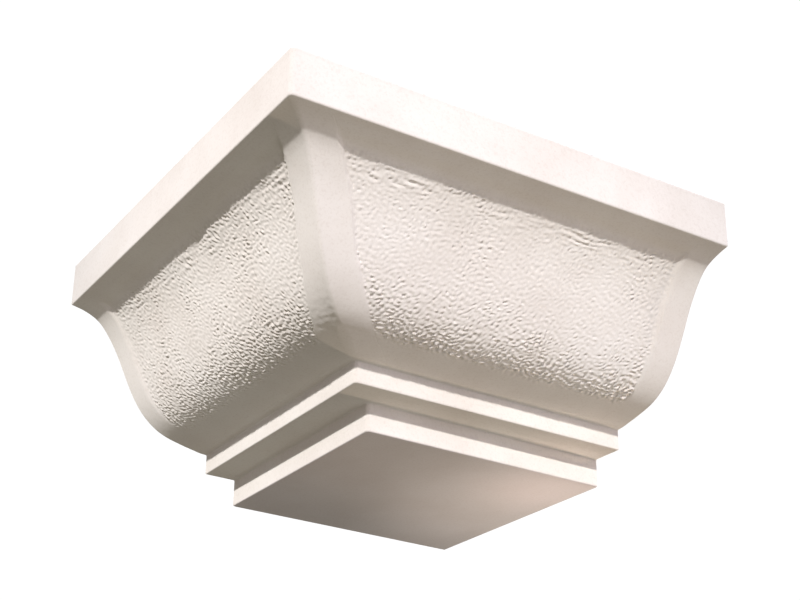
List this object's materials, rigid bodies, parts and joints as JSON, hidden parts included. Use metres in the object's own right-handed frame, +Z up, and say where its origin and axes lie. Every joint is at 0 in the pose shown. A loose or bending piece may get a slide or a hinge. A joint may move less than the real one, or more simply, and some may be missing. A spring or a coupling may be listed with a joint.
{
  "type": "cornice outside corner",
  "caption": "Mitred outside corner of an exterior cornice: fascia over a crinkle-coated cyma recta, fillet and riser, cut square at both run ends.",
  "frame": {"origin": "middle of the square underside", "axes": "+Z up; the outer corner points to -X and -Y, one run follows +X with its face to -Y, the other follows +Y with its face to -X"},
  "size_m": [0.6, 0.6, 0.29],
  "materials": {
    "mineral_coat": "matte"
  },
  "bodies": {
    "root": {"cornice_corner": "mineral_coat"}
  },
  "joints": []
}
